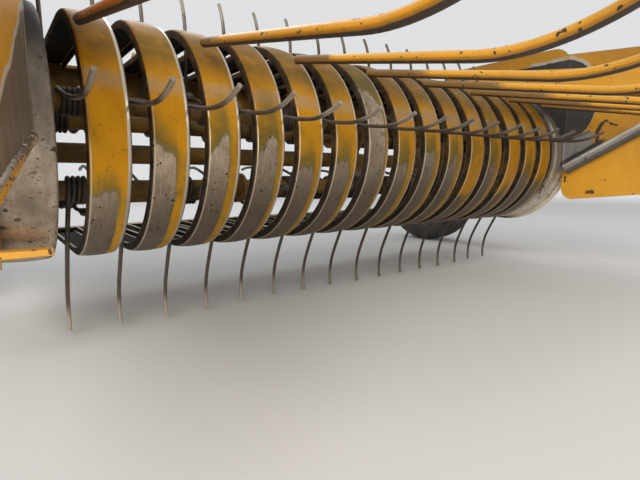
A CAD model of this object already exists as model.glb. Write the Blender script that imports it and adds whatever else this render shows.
"""Looks of a round baler pickup: a spring-tine reel inside hairpin stripper bands, with
end shells, flared end sheets, a rod windguard and gauge wheels. All sizes are in metres."""

import math
from functools import partialmethod

import bpy
import numpy as np
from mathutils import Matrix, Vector


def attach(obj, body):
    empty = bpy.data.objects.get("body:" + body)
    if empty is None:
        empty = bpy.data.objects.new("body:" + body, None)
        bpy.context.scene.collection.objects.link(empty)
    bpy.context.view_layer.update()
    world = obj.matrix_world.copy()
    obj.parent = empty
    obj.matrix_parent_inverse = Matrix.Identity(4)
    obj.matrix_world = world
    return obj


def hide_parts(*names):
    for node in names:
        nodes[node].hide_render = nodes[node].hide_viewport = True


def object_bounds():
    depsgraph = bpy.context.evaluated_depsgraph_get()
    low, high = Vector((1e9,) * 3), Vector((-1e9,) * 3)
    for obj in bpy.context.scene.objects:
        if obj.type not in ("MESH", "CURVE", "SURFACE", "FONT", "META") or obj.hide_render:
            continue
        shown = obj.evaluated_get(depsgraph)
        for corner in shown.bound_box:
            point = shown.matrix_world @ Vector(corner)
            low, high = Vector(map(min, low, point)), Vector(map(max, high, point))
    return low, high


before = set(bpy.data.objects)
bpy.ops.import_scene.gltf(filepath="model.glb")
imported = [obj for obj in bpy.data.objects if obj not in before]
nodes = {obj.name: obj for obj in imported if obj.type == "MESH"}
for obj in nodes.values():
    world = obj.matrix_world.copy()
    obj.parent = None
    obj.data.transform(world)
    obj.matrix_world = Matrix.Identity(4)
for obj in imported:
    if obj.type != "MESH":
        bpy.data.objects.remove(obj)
cad_low, cad_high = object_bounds()

# Sizes of the head, as in the solids. Places are given about the centre of the bands,
# with Y back and Z up, and hung() moves them to the pivot that the head hangs from.
PIVOT_BACK, PIVOT_UP = 0.364, 0.110
PITCH, BAND_COUNT = 0.070, 15
BAND_W, BAND_R, BAND_T = 0.048, 0.1654, 0.003
FOLD_D, FOLD_R, CROWN = 0.012, 0.005, 0.002
RUN_TOP, RUN_LOW, TAB_L = 0.296, 0.290, 0.034
SHELL_IN, SHELL_W = 0.543, 0.057
SIDE_X, SIDE_T = 0.600, 0.006
SHEET_X, SHEET_T, FOLD_Y, FLARE = 0.564, 0.003, -0.170, math.radians(12.4)
REEL_DROP, BAR_RING, BAR_D = 0.020, 0.080, 0.0254
BAR_ANGLES = (129, 219, 309, 399)
TINE_LAG = (69.6, 89, 80, 66)
WIRE_D, COIL_TURNS = 0.006, 4
LEG_R, LEG_TURN, HOOK_R, HOOK_TURN = 0.600, 14.6, 0.127, 32
ROD_COUNT, ROD_PITCH, ROD_D = 8, 0.1455, 0.0127
ROD_SLOPE, ROD_H, ROD_REAR, ROD_L = 10.6, 0.1456, 0.138, 0.310
ROD_BEND_R, ROD_BEND, GUARD_TUBE_D = 0.250, 48, 0.042
WHEEL_X, WHEEL_BACK, WHEEL_DROP = 0.750, 0.400, 0.100
FIRST_BAND = -(BAND_COUNT - 1) / 2 * PITCH
BAND_LEAN = (0, 0, 0, 0, 0, 0, 0, 0, 0, 0, 0.002, -0.003, 0.003, 0.001, 0)
TINES_IN_ROW = (BAND_COUNT + 1) // 2
# Slip between a round piece and what it sits on
SLIP = 0.0003
COIL_R = BAR_D / 2 + SLIP + WIRE_D / 2
# Rolled edges: side, diameter, height at the fold, the way forward and height of the tip
ROLLED = (("l", -1, 0.012, -0.010, 0.360, -0.118), ("r", 1, 0.025, -0.040, 0.300, 0.142))
RIGHT_START, RIGHT_REACH, RIGHT_TIP = ROLLED[1][3:]
# Where a rolled edge starts, from the fold, and how much wider than the solid one it is
HEM_START, HEM_PROUD = 0.008, 0.0008


def hung(x, y, z):
    """A place about the centre of the bands, moved to the frame of the part."""
    return Vector((x, y - PIVOT_BACK, z - PIVOT_UP))


# Wiring of node trees
class Num:
    """A number in a node tree, with the usual sums."""

    def __init__(self, tree, out):
        self.tree, self.out = tree, out

    def sum(self, operation, *others):
        node = add(self.tree, "ShaderNodeMath", dict(enumerate((self,) + others)), operation=operation)
        return Num(self.tree, node.outputs[0])

    __add__, __sub__ = partialmethod(sum, "ADD"), partialmethod(sum, "SUBTRACT")
    __mul__, __truediv__ = partialmethod(sum, "MULTIPLY"), partialmethod(sum, "DIVIDE")
    __pow__, root = partialmethod(sum, "POWER"), partialmethod(sum, "SQRT")
    least, most = partialmethod(sum, "MINIMUM"), partialmethod(sum, "MAXIMUM")
    sine, cosine = partialmethod(sum, "SINE"), partialmethod(sum, "COSINE")
    size, sign = partialmethod(sum, "ABSOLUTE"), partialmethod(sum, "SIGN")

    def __neg__(self):
        return self * -1.0

    def rest(self):
        """What is left of 1."""
        return -self + 1.0

    def between(self, low, high):
        return self.most(low).least(high)

    def ramp(self, low, high):
        """0 below low, 1 above high and smooth between them."""
        node = add(self.tree, "ShaderNodeMapRange", {"Value": self, "From Min": low, "From Max": high},
                   interpolation_type="SMOOTHSTEP")
        return Num(self.tree, node.outputs[0])

    def fade(self, low, high):
        """1 below low, 0 above high and smooth between them."""
        return self.ramp(low, high).rest()


def feed(tree, socket, value):
    """Sets a socket, or links it to a number, to a socket or to a node's first output."""
    if isinstance(value, Num):
        value = value.out
    if isinstance(value, bpy.types.Node):
        value = value.outputs[0]
    if isinstance(value, bpy.types.NodeSocket):
        tree.links.new(value, socket)
    else:
        socket.default_value = value


def add(tree, kind, inputs=None, **settings):
    """A node with its settings made and its inputs fed by name or number."""
    node = tree.nodes.new(kind)
    for name, value in settings.items():
        setattr(node, name, value)
    for name, value in (inputs or {}).items():
        feed(tree, node.inputs[name], value)
    return node


def xyz(tree, **parts):
    return add(tree, "ShaderNodeCombineXYZ", parts)


def parts_of(tree, vector):
    """The X, Y and Z of a vector, as numbers."""
    return [Num(tree, out) for out in add(tree, "ShaderNodeSeparateXYZ", {0: vector}).outputs]


def normal_of(tree):
    return add(tree, "ShaderNodeNewGeometry").outputs["Normal"]


def combine(tree, operation, first, second):
    return add(tree, "ShaderNodeVectorMath", {0: first, 1: second}, operation=operation)


def noise(tree, where, scale, detail, roughness):
    node = add(tree, "ShaderNodeTexNoise", {
        "Vector": where, "Scale": scale, "Detail": detail, "Roughness": roughness})
    return Num(tree, node.outputs[0])


def chance(tree, low, high, seed):
    """A seeded random number for each copy."""
    node = add(tree, "FunctionNodeRandomValue", {2: low, 3: high, "Seed": seed}, data_type="FLOAT")
    return Num(tree, node.outputs[1])


SOCKETS = {"geometry": "NodeSocketGeometry", "length": "NodeSocketFloat", "number": "NodeSocketFloat",
           "count": "NodeSocketInt", "vector": "NodeSocketVector", "colour": "NodeSocketColor",
           "material": "NodeSocketMaterial"}


def new_group(name, kind, inputs, outputs):
    """An empty node group with named inputs and outputs."""
    tree = bpy.data.node_groups.new(name, kind)
    for way, sockets in (("OUTPUT", outputs), ("INPUT", inputs)):
        for label, socket in sockets.items():
            tree.interface.new_socket(label, in_out=way, socket_type=SOCKETS[socket])
    start, end = add(tree, "NodeGroupInput"), add(tree, "NodeGroupOutput")
    given = {label: Num(tree, start.outputs[label]) for label in inputs}
    return tree, given, end


def shape_tree(name, inputs):
    """A geometry tree that ends in one mesh of one material."""
    return new_group(name, "GeometryNodeTree", {"Geometry": "geometry", **inputs, "Material": "material"},
                     {"Geometry": "geometry"})


def shading_group(name, inputs, outputs):
    """A shader group that reads a place besides its own inputs."""
    return new_group(name, "ShaderNodeTree", {"Vector": "vector", **inputs}, outputs)


# Pieces and their meshes
def piece_from(name, mesh):
    piece = bpy.data.objects.new(name, mesh)
    bpy.context.scene.collection.objects.link(piece)
    return piece


def smooth(mesh, crease):
    """Shades a mesh round, apart from edges that turn by more than the crease, in degrees."""
    mesh.shade_smooth()
    mesh.set_sharp_from_angle(angle=math.radians(crease))


def grow(name, tree, sizes, mesh=None, wall=None, crease=40):
    """Runs a geometry tree on a mesh and keeps what it makes as a plain piece."""
    seed = piece_from(name + "_start", mesh or bpy.data.meshes.new(name))
    steps = seed.modifiers.new("Build", "NODES")
    steps.node_group = tree
    ids = {item.name: item.identifier for item in tree.interface.items_tree if item.in_out == "INPUT"}
    for label, value in sizes.items():
        steps[ids[label]] = value
    if wall:
        solid = seed.modifiers.new("Wall", "SOLIDIFY")
        solid.thickness, solid.offset, solid.use_even_offset = wall, -1, True
    graph = bpy.context.evaluated_depsgraph_get()
    made = bpy.data.meshes.new_from_object(seed.evaluated_get(graph))
    bpy.data.objects.remove(seed)
    smooth(made, crease)
    return piece_from(name, made)


def numbers(mesh, name):
    """The values that a mesh keeps under a name, one for each corner point."""
    values = np.zeros(len(mesh.vertices), np.float32)
    mesh.attributes[name].data.foreach_get("value", values)
    return values


def keep_numbers(mesh, name, values):
    layer = mesh.attributes.get(name) or mesh.attributes.new(name, "FLOAT", "POINT")
    layer.data.foreach_set("value", np.asarray(values, np.float32))


def points_of(mesh):
    places = np.zeros(len(mesh.vertices) * 3, np.float32)
    mesh.vertices.foreach_get("co", places)
    return places.reshape(-1, 3)


def put_points(mesh, places, centre):
    """Gives a mesh new points, made about a centre."""
    mesh.vertices.foreach_set("co", (places + np.array(centre)).astype(np.float32).ravel())


# Geometry trees
def end_of_tree(tree, g, end, geometry):
    """Makes copies real and gives them the material of the tree's input."""
    real = add(tree, "GeometryNodeRealizeInstances", {"Geometry": geometry})
    done = add(tree, "GeometryNodeSetMaterial", {"Geometry": real, "Material": g["Material"]})
    feed(tree, end.inputs["Geometry"], done)
    return tree


def store(tree, geometry, name, value):
    return add(tree, "GeometryNodeStoreNamedAttribute", {"Geometry": geometry, "Name": name, "Value": value},
               data_type="FLOAT", domain="POINT")


def along_x(tree, g):
    """A row of points along X that number themselves."""
    line = add(tree, "GeometryNodeMeshLine", {
        "Count": g["Count"], "Start Location": xyz(tree, X=g["First"]), "Offset": xyz(tree, X=g["Spacing"])})
    return store(tree, line, "number", add(tree, "GeometryNodeInputIndex"))


def hairpin_tree():
    """A strip of one section that runs over, round the front and back below, in a row."""
    counts = ("Count", "Steps along", "Steps across")
    lengths = ("First", "Spacing", "Width", "Fold radius", "Left flat", "Right flat", "Left reach",
               "Right reach", "Crown", "Radius", "Top run", "Low run", "Tab")
    sockets = {**dict.fromkeys(counts, "count"), **dict.fromkeys(lengths, "length")}
    tree, g, end = shape_tree("Hairpin row", sockets)
    grid = add(tree, "GeometryNodeMeshGrid", {
        "Size X": 1.0, "Size Y": 1.0, "Vertices X": g["Steps along"], "Vertices Y": g["Steps across"]})
    here = parts_of(tree, add(tree, "GeometryNodeInputPosition"))

    # How far along the run and across the section each point of the grid lies
    half_turn = g["Radius"] * math.pi
    along = (here[0] + 0.5) * (g["Top run"] + half_turn + g["Low run"])
    across = (here[1] + 0.5) * (g["Left reach"] + g["Right reach"]) - g["Left reach"]

    # The section: a crowned web, a quarter turn at each edge, and a flange
    side, far = across.sign(), across.size()
    flat = g["Right flat"] + (side * -0.5 + 0.5) * (g["Left flat"] - g["Right flat"])
    web = far.least(flat)
    fold = ((far - flat) / g["Fold radius"]).between(0.0, math.pi / 2)
    x = side * (web + g["Fold radius"] * fold.sine())
    drop = g["Fold radius"] * fold.cosine().rest()
    drop = drop + (far - flat - g["Fold radius"] * (math.pi / 2)).most(0.0)
    out = g["Radius"] - g["Crown"] * (web / (g["Width"] * 0.5)) ** 2.0 - drop

    # The run: over the top, half a turn round the front, and back below
    turn = ((along - g["Top run"]) / g["Radius"]).between(0.0, math.pi)
    y = (g["Top run"] - along).most(0.0) + (along - g["Top run"] - half_turn).most(0.0) - out * turn.sine()
    kept = store(tree, store(tree, grid, "along", along), "across", across)
    strip = add(tree, "GeometryNodeSetPosition", {
        "Geometry": kept, "Position": xyz(tree, X=x, Y=y, Z=out * turn.cosine())})
    both = add(tree, "GeometryNodeJoinGeometry")
    feed(tree, both.inputs[0], strip)

    # A flat tab without folds at each end
    for run, up in (("Top run", 1.0), ("Low run", -1.0)):
        tab = add(tree, "GeometryNodeMeshGrid", {
            "Size X": g["Width"] - g["Fold radius"] * 2.0, "Size Y": g["Tab"], "Vertices X": 7, "Vertices Y": 5})
        centre = xyz(tree, Y=g[run] + g["Tab"] * 0.5, Z=(g["Radius"] - g["Crown"]) * up)
        feed(tree, both.inputs[0], add(tree, "GeometryNodeTransform", {
            "Geometry": tab, "Translation": centre, "Rotation": (0.0, 0.0 if up > 0 else math.pi, 0.0)}))
    copies = add(tree, "GeometryNodeInstanceOnPoints", {"Points": along_x(tree, g), "Instance": both})
    return end_of_tree(tree, g, end, copies)


def wire_tree():
    """A wire of round section along a path, copied in a row with small seeded turns."""
    tree, g, end = shape_tree("Wire row", {
        "Wire": "length", "Sides": "count", "Count": "count", "First": "length", "Spacing": "length",
        "Sway": "number", "Twist": "number", "Seed": "count"})
    path = add(tree, "GeometryNodeMeshToCurve", {0: g["Geometry"]})
    section = add(tree, "GeometryNodeCurvePrimitiveCircle", {
        "Resolution": g["Sides"], "Radius": g["Wire"] * 0.5})
    wire = add(tree, "GeometryNodeCurveToMesh", {"Curve": path, "Profile Curve": section, "Fill Caps": True})
    sway = chance(tree, -g["Sway"], g["Sway"], g["Seed"])
    twist = chance(tree, -g["Twist"], g["Twist"], g["Seed"] + 7.0)
    copies = add(tree, "GeometryNodeInstanceOnPoints", {"Points": along_x(tree, g), "Instance": wire})
    turned = add(tree, "GeometryNodeRotateInstances", {
        "Instances": copies, "Rotation": xyz(tree, X=sway, Z=twist)})
    return end_of_tree(tree, g, end, turned)


def bolt_tree():
    """A washer, a nut and a thread end on each point, set along its own direction."""
    tree, g, end = shape_tree("Bolts", {"Size": "length", "Seed": "count"})
    cylinder, cone = "GeometryNodeMeshCylinder", "GeometryNodeMeshCone"
    stack = add(tree, "GeometryNodeJoinGeometry")
    # Washer, nut, its chamfer and the thread end: sides, height of the middle, depth and radii
    for kind, sides, middle, depth, radii in (
            (cylinder, 16, 0.08, 0.16, {"Radius": 1.1}),
            (cylinder, 6, 0.41, 0.5, {"Radius": 0.92}),
            (cone, 6, 0.66, 0.14, {"Radius Bottom": 0.92, "Radius Top": 0.74}),
            (cylinder, 12, 0.8, 0.5, {"Radius": 0.5})):
        sizes = {"Depth": depth, **radii}
        shape = add(tree, kind, {"Vertices": sides, **{label: g["Size"] * size for label, size in sizes.items()}})
        feed(tree, stack.inputs[0], add(tree, "GeometryNodeTransform", {
            "Geometry": shape, "Translation": xyz(tree, Z=g["Size"] * middle)}))
    facing = add(tree, "GeometryNodeInputNamedAttribute", {"Name": "facing"}, data_type="FLOAT_VECTOR")
    turn = add(tree, "FunctionNodeAlignRotationToVector", {"Vector": facing}, axis="Z")
    spin = xyz(tree, Z=chance(tree, 0.0, 6.28, g["Seed"]))
    turned = add(tree, "FunctionNodeRotateRotation", {"Rotation": turn, "Rotate By": spin},
                 rotation_space="LOCAL")
    copies = add(tree, "GeometryNodeInstanceOnPoints", {
        "Points": g["Geometry"], "Instance": stack, "Rotation": turned})
    return end_of_tree(tree, g, end, copies)


# Shader groups that several finishes share
def grain_group():
    """Fine unevenness: a value about 0 to 1 and a height for a bump."""
    tree, g, end = shading_group("Fine grain", {"Size": "number", "Stretch": "vector"},
                                 {"Value": "number", "Height": "number"})
    laid = combine(tree, "MULTIPLY", g["Vector"], g["Stretch"])
    coarse, fine = noise(tree, laid, g["Size"], 5.0, 0.6), noise(tree, laid, g["Size"] * 6.0, 3.0, 0.7)
    value = coarse * 0.6 + fine * 0.4
    feed(tree, end.inputs["Value"], value.ramp(0.35, 0.65))
    feed(tree, end.inputs["Height"], value)
    return tree


def speck_group():
    """Small scattered spots of uneven size: rust freckles, pits and chips."""
    tree, g, end = shading_group("Specks", {"Size": "number", "Amount": "number"}, {"Mask": "number"})
    warp = add(tree, "ShaderNodeTexNoise", {"Vector": g["Vector"], "Scale": g["Size"] * 1.7, "Detail": 2.0})
    push = add(tree, "ShaderNodeVectorMath", {0: warp.outputs["Color"], "Scale": g["Size"] ** -1.0 * 0.7},
               operation="SCALE")
    where = combine(tree, "ADD", g["Vector"], push)
    cells = add(tree, "ShaderNodeTexVoronoi", {"Vector": where, "Scale": g["Size"]})
    pick = Num(tree, add(tree, "ShaderNodeSeparateColor", {0: cells.outputs["Color"]}).outputs[0])
    patch = noise(tree, g["Vector"], g["Size"] * 0.12, 2.0, 0.5)
    size = pick ** 6.0 * g["Amount"] * patch.ramp(0.4, 0.66) * 1.5
    feed(tree, end.inputs["Mask"], (size - Num(tree, cells.outputs["Distance"])).ramp(0.0, 0.06))
    return tree


def edge_group():
    """Where paint has gone from the outer edges of a plate or bar."""
    tree, g, end = shading_group("Edge wear", {"Radius": "number", "Amount": "number"}, {"Mask": "number"})
    bevel = add(tree, "ShaderNodeBevel", {"Radius": g["Radius"]}, samples=4)
    turned = Num(tree, combine(tree, "DOT_PRODUCT", bevel, normal_of(tree)).outputs["Value"]).rest()
    patch = noise(tree, g["Vector"], 55.0, 4.0, 0.7)
    mask = (turned * 3.0 + (patch - 0.55) * 1.6) * g["Amount"]
    feed(tree, end.inputs["Mask"], mask.ramp(0.12, 0.3) * turned.ramp(0.005, 0.03))
    return tree


def dust_group():
    """A pale dust film that lies on what faces up and in streaks."""
    tree, g, end = shading_group("Dust", {"Colour": "colour", "Roughness": "number", "Amount": "number"},
                                 {"Colour": "colour", "Roughness": "number"})
    up = parts_of(tree, normal_of(tree))[2].ramp(-0.3, 1.0)
    patch = noise(tree, g["Vector"], 9.0, 6.0, 0.65).ramp(0.35, 0.75)
    film = ((up * 0.8 + 0.2) * patch * g["Amount"]).between(0.0, 1.0)
    mixed = add(tree, "ShaderNodeMix", {"Factor": film, 6: g["Colour"], 7: DUSTY + (1.0,)}, data_type="RGBA")
    feed(tree, end.inputs["Colour"], mixed.outputs[2])
    feed(tree, end.inputs["Roughness"], g["Roughness"] + film * (-g["Roughness"] + 0.85))
    return tree


# Colours that come back in several finishes
AMBER, BAND_AMBER, OLD_AMBER = (0.76, 0.355, 0.016), (0.76, 0.342, 0.006), (0.56, 0.29, 0.035)
BROWN, STAIN, GRIME = (0.085, 0.052, 0.032), (0.15, 0.135, 0.03), (0.022, 0.017, 0.012)
BRIGHT, WORN_RIM = (0.62, 0.57, 0.50), (0.30, 0.26, 0.22)
CHIP, SHEET_CHIP, DARK_RUST = (0.06, 0.035, 0.02), (0.05, 0.032, 0.02), (0.05, 0.03, 0.02)
DUSTY = (0.33, 0.27, 0.19)

GRAIN, SPECKS, EDGES, DUST = grain_group(), speck_group(), edge_group(), dust_group()


class Finish:
    """A material with one Principled shader, built layer by layer from the bottom up."""

    def __init__(self, name, colour, rough, metal=0.0):
        self.material = bpy.data.materials.new(name)
        self.material.use_nodes = True
        self.tree = self.material.node_tree
        self.shader = self.tree.nodes["Principled BSDF"]
        self.where = add(self.tree, "ShaderNodeTexCoord").outputs["Object"]
        self.colour, self.rough, self.metal, self.height = colour + (1.0,), rough, metal, None

    def group(self, tree, **inputs):
        """What a shared group puts out over this material."""
        node = add(self.tree, "ShaderNodeGroup", {"Vector": self.where, **inputs}, node_tree=tree)
        return [Num(self.tree, out) for out in node.outputs]

    def grain(self, size, depth, stretch=(1.0, 1.0, 1.0)):
        """Raises a fine grain and gives its tone, about 0 to 1."""
        tone, height = self.group(GRAIN, Size=size, Stretch=stretch)
        self.raise_by(height, depth)
        return tone

    def specks(self, size, amount):
        return self.group(SPECKS, Size=size, Amount=amount)[0]

    def edges(self, radius, amount):
        return self.group(EDGES, Radius=radius, Amount=amount)[0]

    def noise(self, scale, detail=4.0, where=None):
        return noise(self.tree, where or self.where, scale, detail, 0.6)

    def uneven(self, scale, detail=4.0):
        """Noise about 0, for ragged borders."""
        return self.noise(scale, detail) - 0.5

    def stored(self, name):
        return Num(self.tree, add(self.tree, "ShaderNodeAttribute", attribute_name=name).outputs["Fac"])

    def axes(self):
        return parts_of(self.tree, self.where)

    def about_bands(self):
        """The way back and the height from the centre of the bands."""
        _, y, z = self.axes()
        return y + PIVOT_BACK, z + PIVOT_UP

    def facing(self):
        return parts_of(self.tree, normal_of(self.tree))

    def mix(self, mask, colour, **settings):
        node = add(self.tree, "ShaderNodeMix", {"Factor": mask, 6: self.colour, 7: colour + (1.0,)},
                   data_type="RGBA", **settings)
        self.colour = node.outputs[2]

    def layer(self, mask, colour=None, rough=None, metal=None, shade=None):
        """Lays a finish over what is there, where the mask says; a shade darkens what is there."""
        if colour is not None:
            self.mix(mask, colour)
        if shade is not None:
            self.mix(mask, (shade, shade, shade), blend_type="MULTIPLY")
        for what, value in (("rough", rough), ("metal", metal)):
            if value is not None:
                old = getattr(self, what)
                step = -old + value if isinstance(old, Num) else value - old
                setattr(self, what, mask * step + old)

    def raise_by(self, height, depth):
        step = height * depth
        self.height = step if self.height is None else self.height + step

    def chips(self, size, amount, colour, depth, metal=None):
        """Chips through the paint, and the dents that they leave."""
        mask = self.specks(size, amount)
        self.layer(mask, colour, 0.8, metal)
        self.raise_by(mask, depth)

    def done(self, dust=0.0, coat=0.0, specular=0.5):
        """The finished material, under a film of dust."""
        if dust:
            self.colour, self.rough = self.group(DUST, Colour=self.colour, Roughness=self.rough, Amount=dust)
        for socket, value in (("Base Color", self.colour), ("Roughness", self.rough), ("Metallic", self.metal),
                              ("Coat Weight", coat), ("Coat Roughness", 0.25), ("Specular IOR Level", specular)):
            feed(self.tree, self.shader.inputs[socket], value)
        if self.height is not None:
            bump = add(self.tree, "ShaderNodeBump", {"Height": self.height, "Strength": 0.6, "Distance": 0.001})
            feed(self.tree, self.shader.inputs["Normal"], bump)
        return self.material


def scar(paint, points, width):
    """Mask of a mark along a line of places, each a way back and a height about the bands."""
    back, up = paint.about_bands()
    ragged = paint.uneven(160.0) * 0.007
    nearest = None
    for (y0, z0), (y1, z1) in zip(points, points[1:]):
        dy, dz = y1 - y0, z1 - z0
        y, z = back - y0, up - z0
        t = ((y * dy + z * dz) / (dy * dy + dz * dz)).between(0.0, 1.0)
        far_y, far_z = y - t * dy, z - t * dz
        far = (far_y * far_y + far_z * far_z).root()
        nearest = far if nearest is None else nearest.least(far)
    return (-(nearest + ragged) + width).ramp(0.0, 0.0015)


def amber_paint(name, colour=AMBER):
    """Old machine paint: uneven gloss, faded patches, dark specks."""
    paint = Finish(name, colour, 0.42)
    paint.layer(paint.noise(7.0).ramp(0.4, 0.7) * 0.5, tuple(c * 0.78 for c in colour))
    paint.layer(paint.grain(60.0, 0.12) * 0.25, rough=0.55, shade=0.7)
    return paint


def weathered(paint, worn, dust, coat):
    """Brown worn edges, chips and dust over the paint of a frame piece."""
    paint.layer(worn, BROWN, 0.7)
    paint.chips(190.0, 0.5, CHIP, -0.3)
    return paint.done(dust, coat)


def frame_paint():
    paint = amber_paint("Frame paint")
    return weathered(paint, paint.edges(0.003, 1.0), 0.5, 0.15)


def side_plate_paint(name, side):
    """Side plate: paint outside, grimy towards the reel; the rim below the right shell is washed pale."""
    paint = amber_paint(name)
    inward = paint.facing()[0] * -side
    paint.layer(inward.ramp(0.3, 0.6) * 0.85, (0.055, 0.034, 0.014), 0.8)
    worn = paint.edges(0.003, 1.0)
    if side > 0:
        back, up = paint.about_bands()
        out = (back * back + up * up).root() + paint.uneven(30.0, 5.0) * 0.02
        washed = out.ramp(0.146, 0.154) * inward.ramp(-0.5, -0.1) * (-back).ramp(0.0, 0.05)
        paint.layer(washed, (0.66, 0.58, 0.45), 0.5, 0.1)
        worn = worn * washed.rest()
    return weathered(paint, worn, 0.4, 0.1)


def band_paint():
    """Paint worn off along the front of a band; where it is gone comes from the piece itself."""
    paint = amber_paint("Band paint", BAND_AMBER)
    along, across, number, bare, near, inside, edge = (
        paint.stored(name) for name in ("along", "across", "number", "bare", "near", "inside", "edge"))
    turn = (along - RUN_TOP) / BAND_R
    past = across.size() - (BAND_W / 2 - FOLD_R)

    # Streaks run round the band; clouds and patches differ from band to band
    strip = xyz(paint.tree, X=across, Y=along, Z=number)
    laid = combine(paint.tree, "MULTIPLY", strip, (1.0, 0.12, 1.0))
    spread = combine(paint.tree, "MULTIPLY", strip, (2.0, 1.0, 3.7))
    streak, fine = paint.noise(260.0, 3.0, laid.outputs[0]), paint.noise(700.0, 2.0, laid.outputs[0])
    cloud, patch = paint.noise(38.0, 5.0, strip.outputs[0]), paint.noise(6.0, 5.0, spread.outputs[0])
    cloudy, streaky = cloud - 0.5, streak - 0.5
    ragged = cloudy * 0.75 + streaky * 0.22
    gone = (bare + ragged).ramp(0.42, 0.66)

    # Old paint: streaked, oily over the top, rubbed at the shoulder, stained above the bare steel
    paint.layer(streak.ramp(0.5, 0.75) * 0.3, shade=0.72)
    oily = (turn + cloudy * 0.25).fade(0.94, 1.2)
    oily = oily * (cloud.ramp(0.25, 0.6) * 0.4 + turn.ramp(-0.3, 0.6) * 0.25 + 0.25)
    paint.layer(oily, (0.21, 0.108, 0.012), 0.45)
    rubbed = (turn + cloudy * 0.1).ramp(1.12, 1.2) * (turn + cloudy * 0.06).fade(1.23, 1.33)
    rubbed = rubbed * ((streak * 0.5 + cloud * 0.5).ramp(0.35, 0.65) * 0.4 + 0.45)
    paint.layer(rubbed, (0.52, 0.345, 0.17), 0.34)
    paint.layer((near + ragged * 0.9).ramp(0.2, 1.05) * 0.85, STAIN, 0.6)
    paint.layer((patch + streaky * 0.08).ramp(0.52, 0.74) * 0.6, STAIN, 0.6)

    # Bare steel with a soft olive border, darker to the right of the row and low down
    tone = (cloud * 0.5 + streak * 0.25 + fine * 0.25).ramp(0.38, 0.62)
    paint.layer(gone, (0.32, 0.24, 0.16), 0.42, 0.4)
    paint.layer(gone * tone, (0.66, 0.53, 0.375), 0.36, 0.55)
    paint.layer(gone * gone.rest() * 2.72, (0.17, 0.145, 0.05), 0.55, 0.1)
    film = number.ramp(0.0, 3.5)
    paint.layer(film * 0.68, shade=0.5)
    paint.layer(number.ramp(3.0, 11.0) * (gone * 0.5 + 0.5), shade=0.58)
    low = (turn + cloudy * 0.8 + film * 0.2).ramp(1.65, 2.45)
    paint.layer(gone * low * 0.8, (0.085, 0.060, 0.045), 0.5)
    pits = paint.specks(330.0, 0.6)
    paint.layer(pits * (gone * 0.7 + 0.3), (0.035, 0.02, 0.014), 0.85, 0.1)

    # Folded edges: dark flanges under a scraped crest, with a worn rim
    flange = past.ramp(0.0032, 0.0048) * (cloud.ramp(0.4, 0.6) * 0.15 + 0.85)
    paint.layer(flange, (0.022, 0.015, 0.009), 0.8, 0.0)
    right = across.ramp(-0.001, 0.001)
    crest = (past + right * 0.0026).ramp(0.0014, 0.0020) * (past - right * 0.002).fade(0.0024, 0.0032)
    paint.layer(crest * (edge + cloudy * 0.9).ramp(0.3, 0.7), (0.62, 0.54, 0.42), 0.3, 0.85)
    paint.layer(past.ramp(0.0138, 0.0144) * edge, (0.34, 0.28, 0.20), 0.45, 0.6)
    paint.layer(inside, GRIME, 0.85, 0.0)
    paint.raise_by(streak, 0.15)
    paint.raise_by(pits, -0.5)
    paint.raise_by(gone, -0.25)
    return paint.done(dust=0.08, specular=0.15)


def shell_steel():
    """Bare steel of the end shells: grey, streaked, freckled with rust and dark pits."""
    steel = Finish("Worn shell steel", (0.27, 0.215, 0.155), 0.45, 0.5)
    steel.layer(steel.grain(26.0, 0.25, (1.0, 0.35, 0.35)), (0.52, 0.435, 0.33), 0.4, 0.6)
    cloud = steel.noise(16.0, 6.0).ramp(0.42, 0.66)
    steel.layer(cloud * 0.75, (0.13, 0.095, 0.065), 0.6, 0.3)
    turn, cloudy = (steel.stored("along") - RUN_TOP) / BAND_R, cloud - 0.5
    upper, top = (turn + cloudy * 0.3).fade(1.05, 1.75), (turn + cloudy * 0.2).fade(0.75, 1.15)
    steel.layer(upper * 0.55, (0.085, 0.073, 0.066), 0.5)
    steel.layer(top, (0.035, 0.03, 0.026), 0.6, 0.2)
    low_right = steel.axes()[0].ramp(0.0, 0.01) * (turn + cloudy * 0.5).ramp(1.75, 2.3)
    steel.layer(low_right * 0.8, (0.62, 0.56, 0.47), 0.5, 0.2)
    pits, freckles = steel.specks(200.0, 0.9), steel.specks(420.0, 0.9)
    steel.layer(pits * 0.85, (0.035, 0.025, 0.019), 0.9, 0.0)
    steel.layer(freckles * 0.8, (0.07, 0.036, 0.02), 0.85, 0.0)
    steel.layer(steel.stored("inside"), GRIME, 0.85, 0.0)
    steel.raise_by(pits, -0.7)
    return steel.done(dust=0.3)


# The slanting line on the left end sheet: a place on it, and the way across it to the bare steel
LINE_AT, LINE_ACROSS = (-0.158, 0.122), (0.629, -0.777)

# The black patch on the right end sheet: where its even stretch starts and ends, how far it reaches
# before and behind that, the height of its middle and half its own height
PATCH_FROM, PATCH_TO = FOLD_Y + 0.005, 0.03
PATCH_FRONT, PATCH_REAR, PATCH_UP, PATCH_HALF = 0.070, 0.080, 0.130, 0.100


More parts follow.
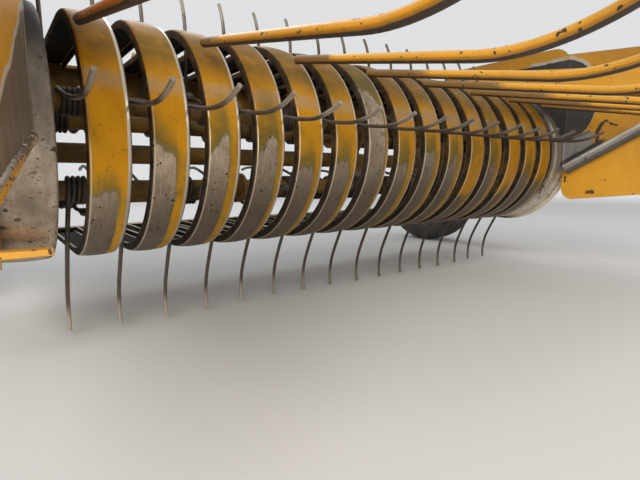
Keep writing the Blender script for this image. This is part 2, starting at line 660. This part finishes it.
def left_sheet_paint():
    """Left end sheet: paint outside a slanting line, brown steel with a pale border on the reel's side."""
    paint = amber_paint("Left sheet paint")
    back, up = paint.about_bands()
    inner = paint.facing()[0].ramp(-0.2, 0.2)
    past = (back - LINE_AT[0]) * LINE_ACROSS[0] + (up - LINE_AT[1]) * LINE_ACROSS[1]
    past = past + paint.uneven(14.0, 6.0) * 0.03
    bare = past.ramp(-0.002, 0.002) * inner
    rim = past.ramp(-0.0075, -0.005) * bare.rest() * inner
    paint.layer(rim, (0.60, 0.55, 0.42), 0.5, 0.2)
    tone = paint.grain(14.0, 0.2, (1.0, 1.0, 0.35))
    paint.layer(bare, (0.155, 0.115, 0.074), 0.5, 0.3)
    paint.layer(bare * tone, (0.27, 0.21, 0.145), 0.42, 0.45)
    paint.chips(220.0, 0.12, SHEET_CHIP, -0.4, 0.0)
    paint.layer(paint.edges(0.004, 1.1), WORN_RIM, 0.45, 0.6)
    return paint.done(dust=0.25, specular=0.3)


def right_sheet_paint():
    """Right end sheet: browned paint round a rubbed black patch, polished grey above the rolled edge."""
    paint = amber_paint("Right sheet paint", (0.50, 0.235, 0.012))
    back, up = paint.about_bands()
    inner = (-paint.facing()[0]).ramp(-0.2, 0.2)
    ragged = paint.uneven(26.0, 6.0)
    paint.layer(paint.noise(5.0, 5.0).ramp(0.4, 0.7) * 0.5, (0.25, 0.11, 0.012), 0.5)

    # The black patch is oval about the fold, with a pale rim in places
    beyond = (back - PATCH_FROM).least(0.0) / PATCH_FRONT + (back - PATCH_TO).most(0.0) / PATCH_REAR
    above = (up - PATCH_UP) / PATCH_HALF
    patch = (beyond * beyond + above * above).root() + ragged * 0.10
    black = patch.fade(0.975, 1.0) * inner
    rim = patch.fade(1.05, 1.09) * paint.noise(17.0, 3.0).ramp(0.42, 0.55) * inner
    tone = paint.grain(14.0, 0.2, (1.0, 1.0, 0.35))
    polished = (up + ragged * 0.02).fade(0.050, 0.056) * (back + ragged * 0.02).ramp(-0.236, -0.226) * inner
    paint.layer(rim, (0.40, 0.36, 0.29), 0.45, 0.3)
    paint.layer(polished, (0.15, 0.147, 0.14), 0.4, 0.6)
    paint.layer(polished * tone, (0.30, 0.295, 0.285), 0.34, 0.7)
    paint.layer(black, (0.026, 0.024, 0.025), 0.5, 0.3)
    paint.layer(black * tone, (0.046, 0.043, 0.044), 0.42, 0.4)

    # A dark line just over the rolled edge
    slope = (RIGHT_TIP - RIGHT_START) / (RIGHT_REACH * math.cos(FLARE))
    over = up - RIGHT_START - (-back + FOLD_Y) * slope + ragged * 0.01
    line = over.ramp(0.010, 0.016) * over.fade(0.023, 0.029) * inner * (back + ragged * 0.05).ramp(-0.262, -0.250)
    paint.layer(line, (0.03, 0.026, 0.024), 0.7, 0.1)
    paint.chips(220.0, 0.3, SHEET_CHIP, -0.4, 0.0)
    stroke = [(-0.239, 0.031), (-0.241, 0.043), (-0.2385, 0.053), (-0.243, 0.064), (-0.249, 0.073)]
    tail = [(-0.248, 0.074), (-0.2555, 0.079), (-0.264, 0.070), (-0.276, 0.066)]
    hook = scar(paint, stroke, 0.0046).most(scar(paint, tail, 0.0026)) * inner
    paint.layer(hook, DARK_RUST, 0.75, 0.1)
    paint.layer(paint.edges(0.004, 1.1) * black.rest(), WORN_RIM, 0.45, 0.6)
    paint.raise_by(hook, -0.5)
    return paint.done(dust=0.2, specular=0.3)


def skirt_paint():
    """Paint of the skirt, cleaner, with a rust spot near its lower edge and a brown worn rim."""
    paint = amber_paint("Skirt paint")
    paint.layer(paint.edges(0.002, 1.2), (0.16, 0.08, 0.03), 0.7)
    spot = scar(paint, [(-0.2235, -0.0915), (-0.2335, -0.0915)], 0.0056)
    nick = scar(paint, [(-0.172, -0.055), (-0.172, -0.066)], 0.0028)
    paint.layer(spot, (0.13, 0.055, 0.02), 0.8)
    paint.layer(nick, DARK_RUST, 0.8)
    paint.layer(paint.specks(160.0, 0.35), (0.10, 0.045, 0.02), 0.8)
    paint.raise_by(spot, -0.4)
    return paint.done(dust=0.25, coat=0.05, specular=0.35)


def tine_steel():
    """Browned spring wire, bright at the tips and darker to the right of the row."""
    steel = Finish("Tine steel", (0.16, 0.125, 0.10), 0.42, 0.7)
    steel.layer(steel.grain(70.0, 0.3) * 0.8, (0.075, 0.05, 0.036), 0.6, 0.35)
    tip = (steel.stored("tip") + steel.uneven(90.0) * 0.3).ramp(0.3, 0.7)
    steel.layer(tip, (0.37, 0.32, 0.255), 0.48, 0.45)
    steel.layer(steel.axes()[0].ramp(-0.30, 0.10) * 0.7, (0.06, 0.04, 0.028), 0.6)
    return steel.done()


def rod_paint():
    """Windguard rods: paint on top, brown below, chipped, and browned over the reel at the free ends."""
    paint = amber_paint("Windguard rod paint")
    up = paint.facing()[2]
    across, back = paint.axes()[:2]
    ragged = paint.uneven(60.0, 6.0)
    free = (back + ragged * 0.05 + across.between(-0.4, 0.1) * 0.25).ramp(-0.665, -0.625)
    paint.layer(free * 0.85, (0.10, 0.058, 0.022), 0.7)
    paint.layer((up + ragged * 0.2).ramp(0.35, 0.8) * free.rest() * 0.6, (0.86, 0.46, 0.05), 0.35)
    paint.layer((-up + ragged * 0.15).ramp(-0.1, 0.45) * 0.75, (0.27, 0.12, 0.012), 0.5)
    paint.layer((-up + ragged * 0.2).ramp(0.5, 0.68), (0.055, 0.036, 0.024), 0.6, 0.3)
    paint.chips(260.0, 0.5, DARK_RUST, -0.4)
    return paint.done(dust=0.2, coat=0.12)


def dull_paint():
    """Old paint in the dark behind the bands, grimy and worn brown at the edges."""
    paint = amber_paint("Dull reel paint", OLD_AMBER)
    paint.layer(paint.noise(16.0, 6.0).ramp(0.3, 0.65) * 0.78, (0.06, 0.036, 0.014), 0.8)
    paint.layer(paint.edges(0.003, 1.0), BROWN, 0.7)
    return paint.done(dust=0.6)


def plain_steel():
    """Steel of bolts, pins, bearings and the sprocket, brown with bright edges."""
    steel = Finish("Plain steel", (0.30, 0.28, 0.26), 0.4, 0.8)
    steel.layer(steel.grain(80.0, 0.2) * 0.6, (0.12, 0.085, 0.06), 0.65, 0.3)
    steel.layer(steel.edges(0.0015, 1.0), BRIGHT, 0.3, 0.9)
    return steel.done(dust=0.4)


def rim_paint():
    """Cream wheel rims with brown edges and rust."""
    paint = Finish("Rim paint", (0.62, 0.56, 0.42), 0.45)
    paint.layer(paint.noise(12.0, 6.0).ramp(0.45, 0.7) * 0.6, (0.36, 0.29, 0.19), 0.7)
    paint.layer(paint.edges(0.003, 1.0), (0.16, 0.08, 0.04), 0.8)
    paint.layer(paint.specks(60.0, 0.5), (0.12, 0.05, 0.025), 0.85)
    return paint.done(dust=0.6, coat=0.1)


def tyre_rubber():
    """Dusty black rubber, greyed in patches."""
    rubber = Finish("Tyre rubber", (0.028, 0.028, 0.029), 0.7)
    rubber.layer(rubber.grain(45.0, 0.3) * 0.7, (0.05, 0.048, 0.045), 0.85)
    rubber.layer(rubber.noise(18.0, 6.0).ramp(0.45, 0.7) * 0.5, (0.13, 0.11, 0.085), 0.95)
    return rubber.done(dust=0.8)


def rolled_edge_steel():
    """The right rolled edge: bare, bright on top and stained below."""
    steel = Finish("Rolled edge steel", (0.40, 0.385, 0.36), 0.34, 0.85)
    steel.layer(steel.grain(40.0, 0.2, (0.4, 0.4, 1.0)) * 0.5, (0.20, 0.18, 0.155), 0.45, 0.7)
    up, uneven = steel.facing()[2], steel.uneven(30.0) * 0.3
    lit = (up + uneven).ramp(0.25, 0.5) * (up + uneven).fade(0.78, 0.9)
    steel.layer(lit * 0.9, (0.82, 0.80, 0.74), 0.34, 0.5)
    steel.layer((-up + uneven).ramp(0.0, 0.25) * 0.85, (0.075, 0.064, 0.052), 0.6, 0.3)
    steel.layer((-up + uneven * 0.5).ramp(0.86, 0.93) * 0.8, (0.60, 0.52, 0.38), 0.5, 0.2)
    steel.layer(steel.specks(200.0, 0.6) * 0.8, (0.06, 0.035, 0.022), 0.8, 0.0)
    return steel.done(dust=0.2)


def rolled_edge_paint():
    """The left rolled edge: chipped paint, bare on its crown and flaked bright at its upper end."""
    paint = amber_paint("Chipped edge paint")
    crown = (paint.facing()[2] + paint.uneven(90.0, 6.0) * 1.2).ramp(0.5, 0.75)
    paint.layer(crown, (0.34, 0.28, 0.21), 0.45, 0.5)
    paint.chips(380.0, 3.0, (0.07, 0.042, 0.025), -0.4, 0.0)
    upper = (paint.about_bands()[1] + paint.uneven(60.0) * 0.02).ramp(-0.050, -0.030)
    paint.layer(upper * 0.8, (0.13, 0.085, 0.05), 0.6, 0.2)
    flakes = paint.specks(300.0, 3.4) * upper
    paint.layer(flakes, (0.78, 0.68, 0.52), 0.35, 0.3)
    paint.raise_by(flakes, 0.3)
    return paint.done(dust=0.2, coat=0.1)


FRAME, BANDS, SHELL = frame_paint(), band_paint(), shell_steel()
SHEET_L, SHEET_R, SKIRT = left_sheet_paint(), right_sheet_paint(), skirt_paint()
SIDE_L, SIDE_R = side_plate_paint("Left side plate paint", -1), side_plate_paint("Right side plate paint", 1)
TINE, ROD, DULL = tine_steel(), rod_paint(), dull_paint()
PLAIN, RIM, RUBBER = plain_steel(), rim_paint(), tyre_rubber()
HEM_R, HEM_L = rolled_edge_steel(), rolled_edge_paint()

# Finishes of the nodes that keep their shape; any other is in frame paint
FINISH_OF = {"end_sheet_l": SHEET_L, "end_sheet_r": SHEET_R, "side_plate_l": SIDE_L, "side_plate_r": SIDE_R,
             "skirt_r": SKIRT, "bearing_l": PLAIN, "bearing_r": PLAIN, "guard_pins": PLAIN,
             "drive_sprocket": PLAIN, "reel_shaft": DULL, "spiders": DULL, "top_rail": DULL,
             "bottom_rail": DULL, "pivot_tube": DULL, "wheel_rim_l": RIM, "wheel_rim_r": RIM,
             "tyre_l": RUBBER, "tyre_r": RUBBER}
for name, node in nodes.items():
    finish = FINISH_OF.get(name, DULL if name.startswith("tine_bar") else FRAME)
    node.data.materials.clear()
    node.data.materials.append(finish)
    smooth(node.data, crease=35)


# Bands and shells
HAIRPIN = hairpin_tree()
STEPS_ALONG, STEPS_ACROSS = 120, 23

# Where the paint of each band is gone, in degrees from the top over the front: at its left edge, its
# middle and its right edge; then the width of the painted strip kept at the right, in millimetres.
WEAR = [(117, 113, 122, 15), (92, 98, 104, 18), (100, 88, 98, 18), (100, 87, 97, 13), (106, 101, 110, 16),
        (101, 99, 113, 15), (52, 60, 76, 11), (102, 99, 112, 20), (93, 90, 104, 18), (102, 93, 105, 20),
        (126, 128, 116, 18), (104, 96, 116, 21), (132, 118, 128, 21), (112, 104, 112, 18), (121, 112, 118, 20)]

# How far the stain reaches above the bare steel of each band, in degrees
STAINED = (13, 18, 34, 44, 20, 20, 50, 32, 22, 26, 8, 50, 14, 30, 16)

# How soft the borders of the bare steel and of the painted strip are, in degrees and in metres,
# and the share of the stain that the strip takes
WEAR_SOFT, STRIP_SOFT, STRIP_STAIN = 14, 0.004, 0.6

# How far below the outer face the inner one begins, over how much more, and its lap on the folds
INNER_FROM, INNER_SOFT, INNER_LAP = 0.0012, 0.001, 0.002

# Where the left and right crests start to be scraped, and over how much more they go bright, in degrees
CREST_LEFT, CREST_RIGHT, CREST_SOFT = 62, 5, 35


def folded_edge(width):
    """How far a strip is flat from its middle, and how far its section reaches round the fold."""
    flat = width / 2 - FOLD_R
    return flat, flat + FOLD_R * math.pi / 2 + FOLD_D - FOLD_R


def mark_faces_inside(mesh, places):
    """Marks the inner face of a hairpin 1 and its outer face 0."""
    y, z = places[:, 1], places[:, 2]
    out = np.where(y < 0, np.hypot(y, z), np.abs(z))
    across = np.abs(numbers(mesh, "across"))
    web = BAND_R - CROWN * np.minimum(across / (BAND_W / 2), 1) ** 2
    inner = np.clip((web - out - INNER_FROM) / INNER_SOFT, 0, 1)
    keep_numbers(mesh, "inside", inner * (across < folded_edge(BAND_W)[0] + INNER_LAP))


def hairpins(name, material, width, left, right, count, first):
    """A row of strips bent to hairpins, and their points about the centre of the bands."""
    strips = grow(name, HAIRPIN, {
        "Count": count, "Steps along": STEPS_ALONG, "Steps across": STEPS_ACROSS, "First": first,
        "Spacing": PITCH, "Width": width, "Fold radius": FOLD_R, "Left flat": left[0], "Right flat": right[0],
        "Left reach": left[1], "Right reach": right[1], "Crown": CROWN, "Radius": BAND_R, "Top run": RUN_TOP,
        "Low run": RUN_LOW, "Tab": TAB_L, "Material": material}, wall=BAND_T)
    places = points_of(strips.data)
    mark_faces_inside(strips.data, places)
    return strips, places


def stripper_bands():
    fold = folded_edge(BAND_W)
    bands, places = hairpins("stripper_bands", BANDS, BAND_W, fold, fold, BAND_COUNT, FIRST_BAND)
    mesh = bands.data
    along, across = numbers(mesh, "along"), numbers(mesh, "across")
    number = np.round(numbers(mesh, "number")).astype(int)
    degrees = np.degrees((along - RUN_TOP) / BAND_R)
    left, middle, right, strip = np.array(WEAR, float)[number].T
    t = np.clip(across / BAND_W + 0.5, 0, 1)
    start = np.where(t < 0.5, left + (middle - left) * t * 2, middle + (right - middle) * (t * 2 - 1))
    bare = np.clip((degrees - start) / WEAR_SOFT + 0.5, 0, 1)
    keep = np.clip(((BAND_W / 2 - strip / 1000) - across) / STRIP_SOFT + 0.5, 0, 1)
    crest = np.where(across < 0, CREST_LEFT, CREST_RIGHT)
    stain = np.clip((degrees - start) / np.array(STAINED, float)[number] + 1, 0, 1)
    keep_numbers(mesh, "bare", bare * keep)
    keep_numbers(mesh, "edge", np.clip((degrees - crest) / CREST_SOFT, 0, 1))
    keep_numbers(mesh, "near", stain * (STRIP_STAIN + (1 - STRIP_STAIN) * keep))
    places[:, 0] += np.array(BAND_LEAN, np.float32)[number]
    put_points(mesh, places, hung(0, 0, 0))
    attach(bands, "head")
    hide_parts(*[f"band_{k:02d}" for k in range(1, BAND_COUNT + 1)])


def end_shells():
    """Plain towards the side plate, folded in towards the bands."""
    plain, fold = (SHELL_W / 2, SHELL_W / 2), folded_edge(SHELL_W)
    for side, name, left, right in ((-1, "l", plain, fold), (1, "r", fold, plain)):
        shell, places = hairpins("shell_" + name, SHELL, SHELL_W, left, right, 1, side * (SHELL_IN + SHELL_W / 2))
        put_points(shell.data, places, hung(0, 0, 0))
        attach(shell, "head")
        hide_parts("end_shell_" + name)


stripper_bands()
end_shells()


# Tines, windguard rods and rolled edges
WIRES = wire_tree()

# Points in one turn of a coil, and how far the coil moves along in one turn
COIL_STEPS, COIL_RISE = 14, WIRE_D * 1.02
# Corners of the loop behind the bar: the way in from the coil, and the way back
LOOP = ((0.0, 0.006), (0.001, 0.011), (0.004, 0.0145))
# How far from the coil a leg starts to be bright, and over how much more
TIP_FROM, TIP_SOFT = 0.155, 0.06
# Points on the straight of a rod and on a rolled edge
ROD_POINTS, EDGE_POINTS = 10, 25
# How far the tines of a row stand out of line
TINE_SWAY, TINE_TWIST = math.radians(1.3), math.radians(0.7)


def wires(name, material, points, wire, *, sides, **row):
    """Round wire along a path, once or in a row."""
    mesh = bpy.data.meshes.new(name + "_path")
    mesh.from_pydata([tuple(p) for p in points], [(k, k + 1) for k in range(len(points) - 1)], [])
    sizes = {"Wire": wire, "Sides": sides, "Count": 1, "First": 0.0, "Spacing": 0.1, "Sway": 0.0, "Twist": 0.0,
             "Seed": 1, "Material": material}
    return grow(name, WIRES, {**sizes, **row}, mesh=mesh)


def arc(centre, radius, start, end, *, steps):
    """Points on an arc in a plane, from one angle to another in degrees."""
    angles = [math.radians(start + (end - start) * k / steps) for k in range(steps + 1)]
    return [(centre[0] + radius * math.cos(a), centre[1] + radius * math.sin(a)) for a in angles]


def tine_leg():
    """The leg of a tine in its own plane, from the coil to the tip."""
    turn = math.radians(LEG_TURN)
    points = arc((0, -COIL_R - LEG_R), LEG_R, 90, 90 - LEG_TURN, steps=9)
    centre = (points[-1][0] - HOOK_R * math.sin(turn), points[-1][1] - HOOK_R * math.cos(turn))
    return points + arc(centre, HOOK_R, 90 - LEG_TURN, 90 - LEG_TURN - HOOK_TURN, steps=8)[1:]


def double_tine():
    """Tip, leg, coil, the loop behind the bar, and the same again mirrored."""
    half = [(PITCH / 2, y, z) for y, z in reversed(tine_leg())]
    for k in range(1, COIL_STEPS * COIL_TURNS + 1):
        a = math.radians(-90 - 360 * k / COIL_STEPS)
        half.append((PITCH / 2 - COIL_RISE * k / COIL_STEPS, COIL_R * math.cos(a), COIL_R * math.sin(a)))
    inner = PITCH / 2 - COIL_RISE * COIL_TURNS
    half += [(inner - way_in, -back, -COIL_R) for way_in, back in LOOP]
    return half + [(-x, y, z) for x, y, z in reversed(half)]


def bar_places():
    """Each tine bar's angle on the reel and its tines' turn, with the bar's centre."""
    for angle, lag in zip(BAR_ANGLES, TINE_LAG):
        ring_angle = math.radians(angle)
        yield (ring_angle, math.radians(angle + lag), BAR_RING * math.cos(ring_angle),
               BAR_RING * math.sin(ring_angle) - REEL_DROP)


def tine_rows():
    for k, (_, turn, bar_y, bar_z) in enumerate(bar_places()):
        row = wires(f"tine_row_{k + 1}", TINE, double_tine(), WIRE_D, sides=9, Count=TINES_IN_ROW,
                    First=FIRST_BAND, Spacing=2 * PITCH, Sway=TINE_SWAY, Twist=TINE_TWIST, Seed=11 + k)
        x, y, z = points_of(row.data).astype(float).T
        keep_numbers(row.data, "tip", np.clip((y - TIP_FROM) / TIP_SOFT, 0, 1))
        sine, cosine = math.sin(turn), math.cos(turn)
        turned = np.column_stack((x, y * cosine - z * sine, y * sine + z * cosine))
        put_points(row.data, turned, hung(0, bar_y, bar_z))
        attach(row, "reel")
        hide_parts(f"tines_{k + 1}")


def guard_rods():
    """Straight over the reel, then bent up to end inside the wall of the cross tube."""
    slope = math.radians(ROD_SLOPE)
    end = (-ROD_REAR, ROD_H - ROD_REAR * math.tan(slope))
    knee = (end[0] - ROD_L * math.cos(slope), end[1] - ROD_L * math.sin(slope))
    centre = (knee[0] - ROD_BEND_R * math.sin(slope), knee[1] + ROD_BEND_R * math.cos(slope))
    stop = 270 + ROD_SLOPE - ROD_BEND + math.degrees((GUARD_TUBE_D / 2 + SLIP) / ROD_BEND_R)
    points = [(end[0] + (knee[0] - end[0]) * t, end[1] + (knee[1] - end[1]) * t)
              for t in np.linspace(0, 1, ROD_POINTS, endpoint=False)]
    points += arc(centre, ROD_BEND_R, 270 + ROD_SLOPE, stop, steps=20)
    rods = wires("windguard_rods", ROD, [hung(0, y, z) for y, z in points], ROD_D, sides=16,
                 Count=ROD_COUNT, First=-(ROD_COUNT - 1) / 2 * ROD_PITCH, Spacing=ROD_PITCH)
    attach(rods, "windguard")
    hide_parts("guard_rods")


def flare_point(side, forward, height, out=0.0):
    """A place on the flare of an end sheet, in the middle of its thickness."""
    x = SHEET_X + SHEET_T / 2 + forward * math.sin(FLARE) + out * math.cos(FLARE)
    y = FOLD_Y - forward * math.cos(FLARE) + out * math.sin(FLARE)
    return hung(side * x, y, height)


def rolled_edges():
    """Round steel along the lower edge of each flare, over the solid one, with closed ends."""
    for name, side, size, start, reach, tip in ROLLED:
        first = HEM_START / math.hypot(reach, tip - start)
        path = [flare_point(side, reach * t, start + (tip - start) * t)
                for t in np.linspace(first, 1, EDGE_POINTS)]
        edge = wires("rolled_edge_" + name, HEM_L if side < 0 else HEM_R, path, size + HEM_PROUD, sides=24)
        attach(edge, "head")


# Bolts and nuts
BOLTS = bolt_tree()

# Tab bolts: the way from the middle of a band, and from the end of its run
TAB_BOLT_X, TAB_BOLT_BACK = 0.011, 0.019
# Bearing flange: thickness and the ring of its bolts
FLANGE_T, FLANGE_RING = 0.012, 0.043
# Side plate bolts: the way back and height of the large ones, then the ring and angles of the small ones
PLATE_BOLTS = ((0.30, 0.135), (0.315, 0.080), (0.305, -0.148))
RIM_RING, RIM_ANGLES = 0.158, (112, 136, 160)
# Bolts of the skirt's lap: the way forward, the height over the rolled edge, and the edge's half thickness
LAP_FORWARD, LAP_UP, LAP_OUT = (0.03, 0.17, 0.31), 0.008, 0.0125
# Tine clamps: the way behind the bar's centre, and how far they sink into the coil
CLAMP_BACK, CLAMP_SUNK = 0.0155, 0.0005
# Spider plates with bolts, the half thickness of a plate, and the bolts' way in from the bar
SPIDERS_X, SPIDER_HALF, SPIDER_IN = (-0.28, 0.0, 0.28), 0.003, 0.03
# Wheel nuts: the way out of the rim's middle, their ring and how many there are
NUT_OUT, NUT_RING, NUT_COUNT = 0.002, 0.044, 5


def bolt_row(name, body, places, *, size, seed):
    """Bolts on one body, each at a point and facing a way; the size is about a nut's radius."""
    mesh = bpy.data.meshes.new(name)
    mesh.from_pydata([tuple(p) for p, way in places], [], [])
    facing = mesh.attributes.new("facing", "FLOAT_VECTOR", "POINT")
    facing.data.foreach_set("vector", np.array([way for p, way in places], np.float32).ravel())
    bolts = grow(name, BOLTS, {"Size": size, "Seed": seed, "Material": PLAIN}, mesh=mesh, crease=25)
    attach(bolts, body)


def ring(x, y, z, radius, count, way, start=0.0):
    return [(hung(x, y + radius * math.cos(start + a), z + radius * math.sin(start + a)), way)
            for a in np.linspace(0, 2 * math.pi, count, endpoint=False)]


def head_bolts():
    """Tab bolts on both rails, bearing flanges, side plates and the skirt's lap."""
    small, large = [], []
    strips = [FIRST_BAND + k * PITCH + BAND_LEAN[k] for k in range(BAND_COUNT)]
    strips += [-SHELL_IN - SHELL_W / 2, SHELL_IN + SHELL_W / 2]
    web = BAND_R - CROWN
    for x in strips:
        for dx in (-TAB_BOLT_X, TAB_BOLT_X):
            small.append((hung(x + dx, RUN_TOP + TAB_BOLT_BACK, web), (0, 0, 1)))
            small.append((hung(x + dx, RUN_LOW + TAB_BOLT_BACK, -web), (0, 0, -1)))
    for side in (-1, 1):
        out, face = (side, 0, 0), side * (SIDE_X + SIDE_T)
        large += ring(face + side * FLANGE_T, 0, -REEL_DROP, FLANGE_RING, 4, out, math.pi / 4)
        large += [(hung(face, y, z), out) for y, z in PLATE_BOLTS]
        for angle in map(math.radians, RIM_ANGLES):
            small.append((hung(face, -RIM_RING * math.sin(angle), RIM_RING * math.cos(angle)), out))
    slope = (RIGHT_TIP - RIGHT_START) / RIGHT_REACH
    for forward in LAP_FORWARD:
        small.append((flare_point(1, forward, RIGHT_START + forward * slope + LAP_UP, LAP_OUT + SLIP + SHEET_T),
                      (math.cos(FLARE), math.sin(FLARE), 0)))
    bolt_row("rail_bolts", "head", small, size=0.0075, seed=4)
    bolt_row("plate_bolts", "head", large, size=0.010, seed=5)


def reel_bolts():
    """Clamp bolts of the double tines and of the spider plates."""
    clamps, plates = [], []
    reach = COIL_R + WIRE_D / 2 - CLAMP_SUNK
    for ring_angle, turn, y, z in bar_places():
        sine, cosine = math.sin(turn), math.cos(turn)
        spot = (y - CLAMP_BACK * cosine + reach * sine, z - CLAMP_BACK * sine - reach * cosine)
        clamps += [(hung(FIRST_BAND + 2 * k * PITCH, *spot), (0, sine, -cosine)) for k in range(TINES_IN_ROW)]
        spot = (y - SPIDER_IN * math.cos(ring_angle), z - SPIDER_IN * math.sin(ring_angle))
        plates += [(hung(x + side * SPIDER_HALF, *spot), (side, 0, 0)) for x in SPIDERS_X for side in (1, -1)]
    bolt_row("tine_clamps", "reel", clamps, size=0.0065, seed=8)
    bolt_row("spider_bolts", "reel", plates, size=0.007, seed=9)


def wheel_nuts():
    for side, name in ((-1, "wheel_l"), (1, "wheel_r")):
        nuts = ring(side * (WHEEL_X + NUT_OUT), WHEEL_BACK, -WHEEL_DROP, NUT_RING, NUT_COUNT, (side, 0, 0))
        bolt_row(name + "_nuts", name, nuts, size=0.0085, seed=12)


tine_rows()
guard_rods()
rolled_edges()
head_bolts()
reel_bolts()
wheel_nuts()


# Studio
BACKDROP = (0.74, 0.75, 0.76, 1.0)
# The floor: its radius and sides, the distances from the middle between which it turns into the
# backdrop, and how far it lies below the wheels
FLOOR_R, FLOOR_SIDES, FLOOR_NEAR, FLOOR_FAR, FLOOR_GAP = 30, 64, 2.5, 6.0, 0.0005
# Camera as solved from the photo: focal length in millimetres, place, pitch and yaw in degrees
FOCAL, CAMERA_AT, PITCHED, YAW = 25.09, (-0.6095, -0.7169, -0.052), 8.17, 36.84


def seen_by(tree, *rays):
    """1 for the kinds of ray that are named."""
    path = add(tree, "ShaderNodeLightPath")
    seen = Num(tree, path.outputs[rays[0]])
    for ray in rays[1:]:
        seen = seen.most(Num(tree, path.outputs[ray]))
    return seen


def pale_floor():
    mesh = bpy.data.meshes.new("floor")
    rim = [(FLOOR_R * math.cos(a), FLOOR_R * math.sin(a), cad_low.z - FLOOR_GAP)
           for a in np.linspace(0, 2 * math.pi, FLOOR_SIDES, endpoint=False)]
    mesh.from_pydata(rim, [], [tuple(range(len(rim)))])
    floor = piece_from("floor", mesh)
    pale = bpy.data.materials.new("Pale floor")
    pale.use_nodes = True
    tree = pale.node_tree
    near = tree.nodes["Principled BSDF"]
    near.inputs["Base Color"].default_value = (0.78, 0.77, 0.75, 1.0)
    near.inputs["Roughness"].default_value = 0.9
    place = add(tree, "ShaderNodeTexCoord").outputs["Object"]
    away = Num(tree, add(tree, "ShaderNodeVectorMath", {0: place}, operation="LENGTH").outputs["Value"])
    far = away.ramp(FLOOR_NEAR, FLOOR_FAR) * seen_by(tree, "Is Camera Ray", "Is Glossy Ray")
    glow = add(tree, "ShaderNodeEmission", {"Color": BACKDROP, "Strength": 1.0})
    mix = add(tree, "ShaderNodeMixShader", {0: far, 1: near, 2: glow})
    feed(tree, tree.nodes["Material Output"].inputs["Surface"], mix)
    mesh.materials.append(pale)


def sky():
    world = bpy.data.worlds.new("Studio")
    bpy.context.scene.world = world
    world.use_nodes = True
    tree = world.node_tree
    lit = tree.nodes["Background"]
    lit.inputs["Color"].default_value = (0.90, 0.95, 1.0, 1.0)
    lit.inputs["Strength"].default_value = 0.42
    seen = add(tree, "ShaderNodeBackground", {"Color": BACKDROP, "Strength": 1.0})
    shown = seen_by(tree, "Is Camera Ray", "Is Glossy Ray", "Is Transmission Ray")
    mix = add(tree, "ShaderNodeMixShader", {0: shown, 1: lit, 2: seen})
    feed(tree, tree.nodes["World Output"].inputs["Surface"], mix)


def lamp(name, place, target, *, size, power, colour=(1.0, 1.0, 1.0)):
    light = bpy.data.lights.new(name, "AREA")
    light.shape, light.size, light.energy, light.color = "DISK", size, power, colour
    stand = piece_from(name, light)
    stand.location = place
    stand.rotation_euler = (Vector(target) - Vector(place)).to_track_quat("-Z", "Y").to_euler()


def photo_camera():
    lens = bpy.data.cameras.new("Camera")
    lens.lens, lens.sensor_width, lens.sensor_fit = FOCAL, 36.0, "HORIZONTAL"
    lens.clip_start, lens.clip_end = 0.02, 100.0
    camera = piece_from("Camera", lens)
    camera.location = hung(*CAMERA_AT)
    camera.rotation_euler = (math.radians(90 - PITCHED), 0.0, math.radians(-YAW))
    bpy.context.scene.camera = camera


pale_floor()
sky()
lamp("key_lamp", (-2.2, -2.6, 1.5), (-0.2, -0.4, 0.1), size=2.2, power=82.0, colour=(1.0, 0.97, 0.92))
lamp("low_lamp", (-1.7, -2.4, 0.1), (-0.4, -0.4, -0.1), size=1.0, power=12.0, colour=(1.0, 0.96, 0.90))
lamp("side_lamp", (2.6, -2.2, 0.9), (0, -0.4, -0.1), size=1.5, power=12.0)
lamp("rear_lamp", (0.5, 2.6, 2.2), (0, -0.2, 0.0), size=2.0, power=36.0)
photo_camera()
bpy.context.scene.view_settings.view_transform = "Standard"
